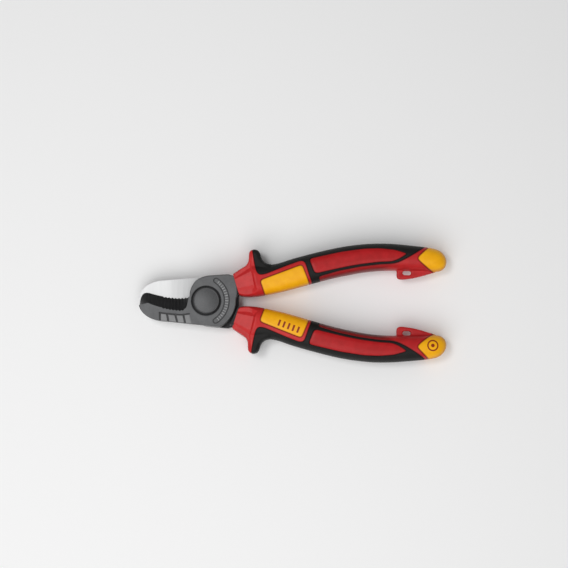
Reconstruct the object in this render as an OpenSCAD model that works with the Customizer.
// Insulated hand shears for cable: two crossed levers that turn on one adjustable bolt.
// The tool lies flat. The pivot runs along Z, the jaws point to -X and the handles to +X.
// Z = 0 is the plane that the tool rests on, which the nut and both handles touch.

/* [Head] */
// Thickness of each lever, from its ground face to its outer face
lever_t = 5.5; // [5:0.1:5.8]
// Running gap between the two ground faces
blade_gap = 0.04; // [0.02:0.01:0.1]
// Radius of the round hub at the joint
hub_r = 15.4; // [15.2:0.1:15.5]
// Flat left above each cutting edge
edge_land = 0.3; // [0.2:0.1:0.6]
// Number of serrations along each cutting edge
tooth_count = 8; // [6:1:10]
// Distance from one serration to the next
tooth_pitch = 1.7; // [1.4:0.1:1.9]

/* [Pivot] */
// Diameter of the bolt's shank
shank_d = 10; // [9:0.5:11]
// Running clearance on radius between shank and levers
shank_clearance = 0.04; // [0.02:0.01:0.08]
// Diameter of the bolt's head
bolt_head_d = 13.8; // [13.6:0.1:14.6]
// Diameter of the pocket that the head sits in
head_pocket_d = 15.5; // [15.2:0.1:15.8]
// Depth of the pocket that the head sits in
head_pocket_depth = 1.7; // [1.5:0.1:2]
// How far the head stands above the lever
head_proud = 0.35; // [0.1:0.05:0.6]
// Diameter of the bolt's threaded end
thread_d = 8; // [7:0.5:8.5]
// Nut's width across flats
nut_flats = 13; // [12.5:0.5:14]
// Outer diameter of the spring washer
washer_d = 15; // [14.5:0.1:15.2]
// Thickness of the spring washer
washer_t = 0.8; // [0.6:0.1:1]

/* [Handles] */
// Thickness of both handles, measured along the pivot
grip_t = 17.2; // [16.8:0.1:17.6]
// Wall of the coloured outer layers
skin_t = 1.5; // [1.3:0.1:1.7]
// Thickness of the steel tang inside a handle
tang_t = 7; // [6:0.5:8]
// Thickness of the tether tab
tab_t = 3.6; // [3:0.1:4.5]
// Length of the tether slot
slot_length = 4.4; // [4:0.1:4.6]
// Width of the tether slot
slot_width = 2.1; // [1.8:0.1:2.2]
// Thickness of the hand guard's fin
guard_t = 13; // [11:0.5:14]

/* [Hidden] */
$fn = 64;
eps = 0.01;
mid_z = grip_t / 2;
shoulder_setback = 0.1;
stop_y = 3.4;
stop_gap = 0.1;
face_z = mid_z + lever_t;
back_z = mid_z - lever_t;
ring_sides = 20;

// ---- Curves ---------------------------------------------------------------

function bezier(p, u) =
    pow(1 - u, 3) * p[0] + 3 * u * pow(1 - u, 2) * p[1] + 3 * u * u * (1 - u) * p[2] + pow(u, 3) * p[3];

function bezier_points(p, n) = [for (i = [0:n]) bezier(p, i / n)];

function arc(r, from, to, n) = [for (i = [0:n]) let (a = from + (to - from) * i / n) [r * cos(a), r * sin(a)]];

// ---- Front lever, seen from its outer face --------------------------------

// Back of the jaw, from the tip round the nose to the straight lower edge
jaw_nose = [[-35.1, -2.4], [-34.4, -6.4], [-30.4, -9.8], [-24, -10.6]];
// Cutting edge on the ground face: from the tip up to the hook, then along the shallow curve
edge_hook = [[-35.1, -2.4], [-34.6, 0.8], [-34.5, 4.8], [-30.4, 4.1]];
edge_curve = [[-30.4, 4.1], [-24.8, 2.5], [-14.6, 0.35], [-8.9, 2.3]];
// Where the bevel meets the outer face
bevel_hook = [[-35, -2.7], [-33.6, -2.3], [-31.8, -1.95], [-30.3, -1.45]];
bevel_curve = [[-30.3, -1.45], [-26.8, -3.2], [-20, -4.75], [-14, -5.15]];
bevel_run_out = [[-14, -5.15], [-9.8, -5.4], [-10.1, -2.2], [-9, 1.9]];
// Round front of the hub, above the jaw
hub_front = [[-8.9, 2.3], [-8.5, 5.6], [-7.7, 11.7], [0.7, 13.1]];
shoulder_corner = [11.3, 13.9];
// The lever's neck, just inside the collar
neck_top = [15.2, 12.8];
neck_bottom = [18.6, 4];
// Angle on the hub where the back of the jaw runs into it
heel_angle = -61.4;
// The lug beside the rear hub that meets the front lever's shoulder when the handles are closed
stop_lug = [[16.75, -stop_y + stop_gap], [16.75, 3.3]];

function plate_outline(with_lug) = concat(
    bezier_points(jaw_nose, 10),
    arc(hub_r, heel_angle, with_lug ? -12 : 0, with_lug ? 14 : 18),
    with_lug ? stop_lug : [[15.6, 1.7], [16.4, 3.4]],
    [neck_bottom, neck_top, shoulder_corner],
    [for (i = [10:-1:1]) bezier(hub_front, i / 10)],
    [for (i = [len(edge_line) - 2:-1:1]) edge_line[i]]
);

edge_line = concat(bezier_points(edge_hook, 6), [for (i = [1:14]) bezier(edge_curve, i / 14)]);
bevel_line = concat(
    bezier_points(bevel_hook, 6),
    [for (i = [1:9]) bezier(bevel_curve, i / 9)],
    [for (i = [1:5]) bezier(bevel_run_out, i / 5)]
);

// The wedge that is ground away between the cutting edge and the outer face
module bevel_wedge() {
    far_y = 7;
    depth = lever_t - edge_land;
    n = len(edge_line);
    // Runs on a little past the plate, above and below
    sections = [for (i = [0:n - 1]) let (e = edge_line[i], slope = bevel_line[i] - e) each [
        [e.x - 0.05 * slope.x, e.y - 0.05 * slope.y, edge_land - 0.05 * depth],
        [e.x + 1.2 * slope.x, e.y + 1.2 * slope.y, edge_land + 1.2 * depth],
        [e.x + 1.2 * slope.x, far_y, edge_land + 1.2 * depth],
        [e.x - 0.05 * slope.x, far_y, edge_land - 0.05 * depth]
    ]];
    sides = [for (i = [0:n - 2], k = [0:3]) let (
        a = 4 * i + k,
        b = 4 * i + (k + 1) % 4
    ) [a, b, b + 4, a + 4]];
    polyhedron(sections, concat([[3, 2, 1, 0]], sides, [[for (k = [0:3]) 4 * (n - 1) + k]]), convexity = 6);
}

// Fine grooves down the bevel that leave a serrated edge
module serrations() {
    groove_r = 0.75;
    bite = 0.4;
    first = -22.2;
    for (i = [0:tooth_count - 1]) {
        x = first + i * tooth_pitch;
        e = bezier(edge_curve, (x + 30.6) / 21.8);
        // The last one, beside the hub, lies steeper, as the bevel does there
        lean = x > -11 ? 40 : 50.5;
        translate([x, e.y - bite + groove_r / cos(lean), edge_land])
            rotate([lean, 0, 0])
                translate([0, 0, -1])
                    cylinder(h = 1 + 1.6 * lever_t, r = groove_r);
    }
}

// Slanted grooves that leave pads along the back of the jaw, and the groove above them
module jaw_grooves() {
    depth = 0.4;
    translate([0, 0, lever_t - depth])
        linear_extrude(1) {
            for (i = [0:3])
                translate([-24.4 + i * 4.1, -6.55 - 0.15 * i])
                    polygon([[0, 0], [0.8, 0], [1 + 0.4 * i, -7], [0.2 + 0.4 * i, -7]]);
            polygon([[-24.5, -6.85], [-24.4, -6.25], [-20.4, -6.65], [-16.1, -7.15], [-12.1, -7.25], [-8.9, -6.65],
                [-8.7, -7.25], [-12.1, -7.85], [-16.1, -7.75], [-20.4, -7.25]]);
        }
}

// Curved label recess behind the bolt
module arc_recess() {
    depth = 0.3;
    inner_r = 11;
    outer_r = 14;
    half_angle = 58;
    translate([-1.8, 0, lever_t - depth])
        linear_extrude(1)
            polygon(concat(arc(outer_r, -half_angle, half_angle, 30), arc(inner_r, half_angle, -half_angle, 30)));
}

// Where the lever thickens to the full depth of the head, just before the handle
shoulder_outline = [
    [12.3, 12.5], [16.6 - shoulder_setback, stop_y], [17, stop_y], [18.4, 4.3], [15.1, 12.6]
];

module shoulder_block() {
    translate([0, 0, -lever_t])
        linear_extrude(lever_t + 1)
            polygon(shoulder_outline);
}

// Steel tang inside the handle
tang_outline = [
    [15.5, 12.4], [30, 15], [50, 19.6], [70, 24.3], [90, 26.9], [105, 26.4],
    [106.5, 24], [105, 21.6], [90, 21], [70, 17.8], [50, 12.6], [30, 7.8], [18.2, 4.6]
];

module tang(extra = 0) {
    translate([0, 0, -tang_t / 2 - extra])
        linear_extrude(tang_t + 2 * extra)
            polygon(tang_outline);
}

// One lever blank, ground face at Z = 0, outer face up
module lever_blank(with_lug) {
    difference() {
        union() {
            translate([0, 0, blade_gap / 2])
                linear_extrude(lever_t - blade_gap / 2)
                    polygon(plate_outline(with_lug));
            shoulder_block();
            tang();
        }
        bevel_wedge();
        serrations();
        jaw_grooves();
        arc_recess();
    }
}

// Lug under the bolt's head that stops it turning in the front lever
key_w = 2;
key_reach = 6.3;
key_depth = 1;

module bolt_key(extra = 0) {
    translate([0, -key_w / 2 - extra, face_z - head_pocket_depth - key_depth - extra])
        cube([key_reach + extra, key_w + 2 * extra, key_depth + extra + eps]);
}

module front_lever() {
    color("dimgray")
        difference() {
            translate([0, 0, mid_z])
                lever_blank(false);
            translate([0, 0, mid_z - 1])
                cylinder(h = lever_t + 2, r = shank_d / 2 + 0.01);
            translate([0, 0, face_z - head_pocket_depth])
                cylinder(h = 3, r = head_pocket_d / 2);
            bolt_key(0.05);
        }
}

module rear_lever() {
    color("silver")
        flipped()
            difference() {
                translate([0, 0, mid_z])
                    lever_blank(true);
                translate([0, 0, mid_z - 1])
                    cylinder(h = lever_t + 2, r = shank_d / 2 + shank_clearance);
                translate([0, 0, face_z - washer_t])
                    cylinder(h = 3, r = head_pocket_d / 2);
            }
}

// Turns a part over about the X axis, as the second lever is the first one turned over
module flipped() {
    translate([0, 0, 2 * mid_z])
        rotate([180, 0, 0])
            children();
}

// ---- Pivot ----------------------------------------------------------------

nut_t = back_z - 0.05;
thread_recess = 0.4;

// Shouldered bolt with a low round head that has a ring groove
module pivot_bolt() {
    head_top = face_z + head_proud;
    head_base = face_z - head_pocket_depth;
    rim_chamfer = 0.5;
    groove_r = 6;
    groove_w = 0.4;
    shank_end = back_z + washer_t + 0.1;
    color("darkslategray")
        difference() {
            union() {
                rotate_extrude()
                    polygon([[0, head_base], [bolt_head_d / 2, head_base], [bolt_head_d / 2, head_top - rim_chamfer],
                        [bolt_head_d / 2 - rim_chamfer, head_top], [0, head_top]]);
                translate([0, 0, shank_end])
                    cylinder(h = head_base - shank_end + eps, r = shank_d / 2);
                translate([0, 0, thread_recess])
                    cylinder(h = shank_end - thread_recess + eps, r = thread_d / 2);
                bolt_key();
            }
            difference() {
                translate([0, 0, head_top - 0.3])
                    cylinder(h = 1, r = groove_r + groove_w);
                translate([0, 0, head_top - 1])
                    cylinder(h = 3, r = groove_r);
            }
        }
}

// Spring washer that keeps the blades pressed together
module spring_washer() {
    color("gray")
        translate([0, 0, back_z])
            difference() {
                cylinder(h = washer_t - 0.05, r = washer_d / 2);
                translate([0, 0, -1])
                    cylinder(h = 3, r = thread_d / 2 + 0.2);
            }
}

// Thin hexagon nut, chamfered on the side that faces out
module pivot_nut() {
    corner_r = nut_flats / 2 / cos(30);
    color("dimgray")
        difference() {
            intersection() {
                cylinder(h = nut_t, r = corner_r, $fn = 6);
                rotate_extrude()
                    polygon([[0, 0], [nut_flats / 2, 0], [corner_r + 0.4, 0.9], [corner_r + 0.4, nut_t], [0, nut_t]]);
            }
            translate([0, 0, -1])
                cylinder(h = nut_t + 2, r = thread_d / 2);
        }
}

// ---- Handle ---------------------------------------------------------------

// Each row is one cross-section of the upper handle: its outer edge point, its inner edge point,
// its thickness and how square it is (2 is an ellipse)
stations = [
    [13.6, 14.2, 17, 3.3, 12.6, 5],
    [16, 15.9, 19, 2.7, 13, 5],
    [18.6, 17.6, 21.9, 2.5, 13.6, 5],
    [20.7, 18.8, 24, 2.6, 14.4, 4],
    [23.6, 19.4, 26.6, 2.8, 17, 3],
    [27.2, 19.4, 30.2, 3.4, 16.6, 2.8],
    [31.6, 19.4, 34.8, 4.3, 16.4, 2.6],
    [37.2, 20.2, 40.8, 5.7, 16.4, 2.6],
    [44.8, 22.7, 48.8, 7.9, 16.6, 2.6],
    [53, 25, 57.2, 10.3, 16.9, 2.6],
    [61.6, 27.2, 65.7, 12.6, 17.1, 2.6],
    [70.2, 29.1, 73.7, 14.4, 17.2, 2.6],
    [79, 30.4, 81.7, 15.9, 17.2, 2.6],
    [88, 31.1, 89.4, 16.8, 17, 2.6],
    [97, 31, 97.2, 17.1, 16.6, 2.6],
    [106, 30.3, 105, 17.1, 16, 2.5],
    [114, 29.5, 112.6, 16.9, 15.2, 2.4],
    [119.3, 28.6, 118.2, 16.6, 13.8, 2.3],
    [122.4, 27.2, 121.7, 16.9, 11.6, 2.2],
    [124.4, 25, 124, 18.2, 8, 2.2],
    [125.3, 22.8, 125.2, 20.2, 3.4, 2]
];

function section(s, inset) = let (
    centre = [s[0] + s[2], s[1] + s[3]] / 2,
    half = [s[0] - s[2], s[1] - s[3]] / 2,
    shrunk = half * (1 - inset / norm(half)),
    half_t = s[4] / 2 - inset,
    power = 2 / s[5]
) [for (k = [0:ring_sides - 1]) let (
    a = 360 * (k + 0.5) / ring_sides,
    c = sign(cos(a)) * pow(abs(cos(a)), power),
    d = sign(sin(a)) * pow(abs(sin(a)), power)
) [centre.x + shrunk.x * c, centre.y + shrunk.y * c, mid_z + half_t * d]];

// Skin through the cross-sections from the first to the last given, made smaller by inset all round
module handle_form(inset = 0, first = 0, last = len(stations) - 1) {
    rings = [for (i = [first:last]) section(stations[i], inset)];
    count = len(rings);
    points = [for (r = rings) each r];
    sides = [for (i = [0:count - 2], k = [0:ring_sides - 1]) let (
        a = i * ring_sides + k,
        b = i * ring_sides + (k + 1) % ring_sides
    ) [a, a + ring_sides, b + ring_sides, b]];
    front = [for (k = [0:ring_sides - 1]) k];
    back = [for (k = [ring_sides - 1:-1:0]) (count - 1) * ring_sides + k];
    polyhedron(points, concat([front], sides, [back]), convexity = 6);
}

// Fin of the hand guard
guard_outline = concat(
    [[19.6, 18.6], [21.6, 20.8], [21.8, 23.4]],
    bezier_points([[22, 25], [22.3, 27.9], [27.2, 28], [28, 24]], 8),
    bezier_points([[28, 24], [28.6, 21], [30.4, 19.4], [33.6, 19.4]], 5),
    [[32, 16], [22, 15]]
);

module guard_fin() {
    translate([0, 0, mid_z - guard_t / 2])
        linear_extrude(guard_t)
            polygon(guard_outline);
}

// Boundaries between the coloured layers, as prisms through the whole handle
soft_outline = [
    [23.6, 36], [23.7, 26.5], [24.6, 21.5], [25.6, 16.6], [26.5, 14.5], [27.9, 13.6], [30.8, 14.1], [35.8, 16.2],
    [41.8, 18.7], [48.8, 21.3], [51, 20.8], [52.1, 18], [53.4, 13.9], [55, 9.8], [56.2, 6], [60.4, 6],
    [59.2, 10.8], [58.5, 12.4], [59.2, 13.1], [68.8, 16], [80, 18.3], [90, 19.6], [96.6, 20], [99.8, 20.8],
    [103.9, 22.9], [107.9, 25.3], [112.6, 28.4], [116.6, 31.5], [118.2, 36]
];
inlay_outline = [
    [54.2, 22.6], [53.5, 21.5], [55.9, 15.3], [57.3, 14.5], [62.7, 15.8], [68.7, 17.2], [74.7, 18.5], [81.6, 19.7],
    [89.6, 20.7], [96.6, 21.1], [100, 22.5], [104.4, 25.4], [97.5, 27.5], [89.5, 28.2], [81.5, 27.9],
    [69.5, 26.1], [60.7, 24.1]
];
window_outline = [
    [28.1, 9.9], [28.8, 11.1], [39, 15.1], [48.8, 18.9], [50, 18.3], [53.4, 9.9], [54.8, 6],
    [54, 0], [32, -2], [30.2, 4]
];
cap_outline = [
    [118.6, 36], [116, 29.5], [112.9, 26.6], [110.3, 24.1], [109.8, 23], [110.3, 22], [111.8, 20.6],
    [115.3, 17.9], [119.3, 15.6], [122, 10], [132, 10], [132, 36]
];
tab_outline = concat(
    [[119, 17], [112, 14.1], [107.8, 13]],
    bezier_points([[103.9, 12.5], [100.6, 12.3], [99.2, 13], [99.2, 15.2]], 6),
    [[99.2, 18], [110, 19]]
);

module region(outline) {
    translate([0, 0, -5])
        linear_extrude(grip_t + 10)
            polygon(outline);
}

module outer_layer() {
    difference() {
        handle_form();
        core_form();
    }
}

module core_form() {
    handle_form(skin_t, 1, len(stations) - 2);
}

module lever_in_handle() {
    translate([0, 0, mid_z]) {
        tang();
        shoulder_block();
        translate([0, 0, blade_gap / 2])
            linear_extrude(lever_t - blade_gap / 2)
                polygon([[10, 3], neck_bottom, neck_top, shoulder_corner]);
    }
}

// Yellow insulating sleeve that is moulded onto the tang first
module core_sleeve() {
    color("gold")
        difference() {
            core_form();
            lever_in_handle();
        }
}

// Red front moulding with the front of the hand guard
module collar() {
    color("firebrick")
        difference() {
            union() {
                outer_layer();
                guard_fin();
            }
            core_form();
            region(soft_outline);
            region(window_outline);
            region([[56.2, 6], [53.4, 13.9], [52.1, 18], [51, 20.8], [48.8, 21.3], [48.6, 36], [140, 36], [140, -6], [54, -6]]);
            lever_in_handle();
        }
}

// Yellow window that wraps the inner side of the grip
module marker_window() {
    color("orange")
        intersection() {
            outer_layer();
            region(window_outline);
        }
}

// Black soft moulding: back of the guard, outer side of the grip and the band round it
module soft_grip() {
    color("black")
        difference() {
            intersection() {
                union() {
                    outer_layer();
                    guard_fin();
                }
                region(soft_outline);
            }
            core_form();
            region(inlay_outline);
        }
}

// Red panels set into the soft grip, one on each face
module inlay(front) {
    color("crimson")
        intersection() {
            outer_layer();
            region(inlay_outline);
            translate([40, 0, front ? mid_z + 1 : -1])
                cube([80, 40, mid_z]);
        }
}

// Red rear moulding with the tether tab
module tail() {
    slot_reach = (slot_length - slot_width) / 2;
    color("firebrick")
        difference() {
            union() {
                difference() {
                    outer_layer();
                    region([[0, -10], [56.2, 6], [57, 13], [57, 36], [0, 36]]);
                }
                translate([0, 0, mid_z - tab_t / 2])
                    linear_extrude(tab_t)
                        polygon(tab_outline);
            }
            core_form();
            region(soft_outline);
            region(cap_outline);
            translate([104.6, 15.8, 0])
                for (side = [-1, 1])
                    translate([side * slot_reach, 0, 0])
                        cylinder(h = grip_t, r = slot_width / 2);
            translate([104.6 - slot_reach, 15.8 - slot_width / 2, 0])
                cube([2 * slot_reach, slot_width, grip_t]);
        }
}

// Yellow cap on the end of the handle
module end_cap() {
    color("orange")
        intersection() {
            outer_layer();
            region(cap_outline);
        }
}

front_lever();
rear_lever();
pivot_bolt();
spring_washer();
pivot_nut();
core_sleeve();  // upper_core_sleeve
collar();  // upper_collar
marker_window();  // upper_marker_window
soft_grip();  // upper_soft_grip
inlay(true);  // upper_front_inlay
inlay(false);  // upper_back_inlay
tail();  // upper_tail
end_cap();  // upper_end_cap
flipped() core_sleeve();  // lower_core_sleeve
flipped() collar();  // lower_collar
flipped() marker_window();  // lower_marker_window
flipped() soft_grip();  // lower_soft_grip
flipped() inlay(false);  // lower_front_inlay
flipped() inlay(true);  // lower_back_inlay
flipped() tail();  // lower_tail
flipped() end_cap();  // lower_end_cap
